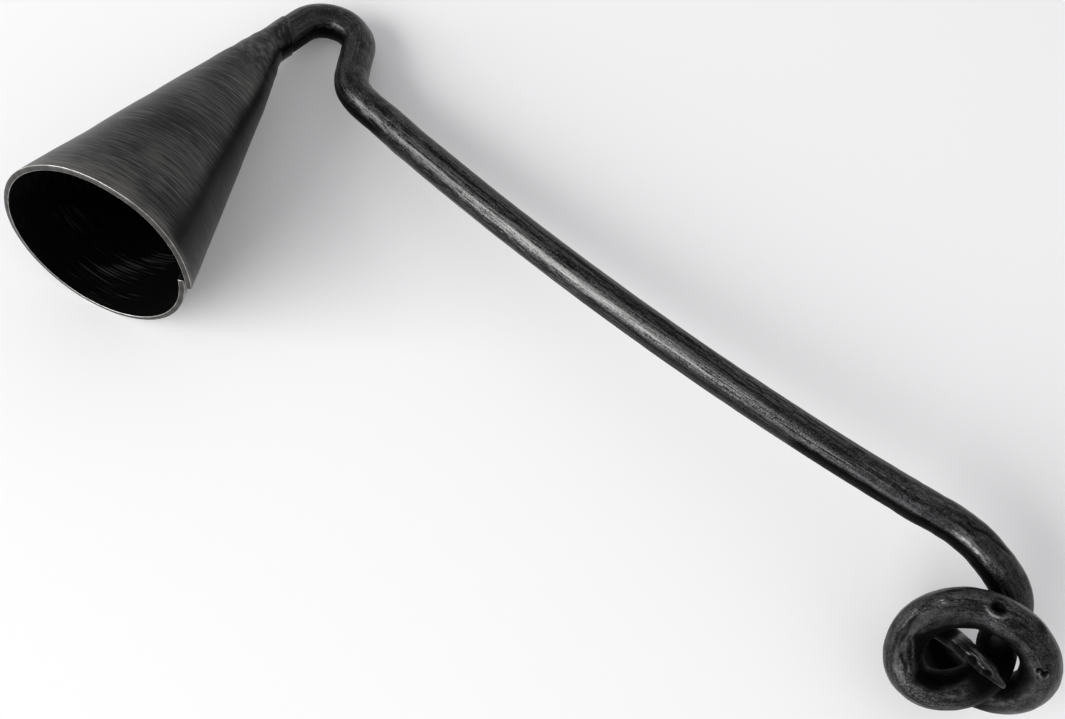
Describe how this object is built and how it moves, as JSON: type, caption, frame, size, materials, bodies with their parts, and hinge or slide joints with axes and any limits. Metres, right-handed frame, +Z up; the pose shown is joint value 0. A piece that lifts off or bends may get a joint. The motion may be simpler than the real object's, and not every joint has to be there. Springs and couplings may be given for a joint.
{
  "type": "candle snuffer",
  "caption": "Forged candle snuffer: a cone rolled from black sheet iron on a round bar handle that arches at the neck and ends in a coiled knot.",
  "frame": {"origin": "middle of the bounding box, at the level of the table it lies on", "axes": "+Z up from the table, +X along the handle from the cone to the knot, mouth of the cone facing -Y"},
  "size_m": [0.1824, 0.0802, 0.0314],
  "materials": {
    "sheet_iron": "blackened sheet, scratch-brushed round the cone and waxed",
    "bar_iron": "hot-rolled bar, fire-blackened and waxed, with a dull shine",
    "weld_iron": "sooty weld bead, left as it ran"
  },
  "bodies": {
    "root": {"snuffer_cone": "sheet_iron", "handle_rod": "bar_iron", "weld_fillet": "weld_iron"}
  },
  "joints": []
}
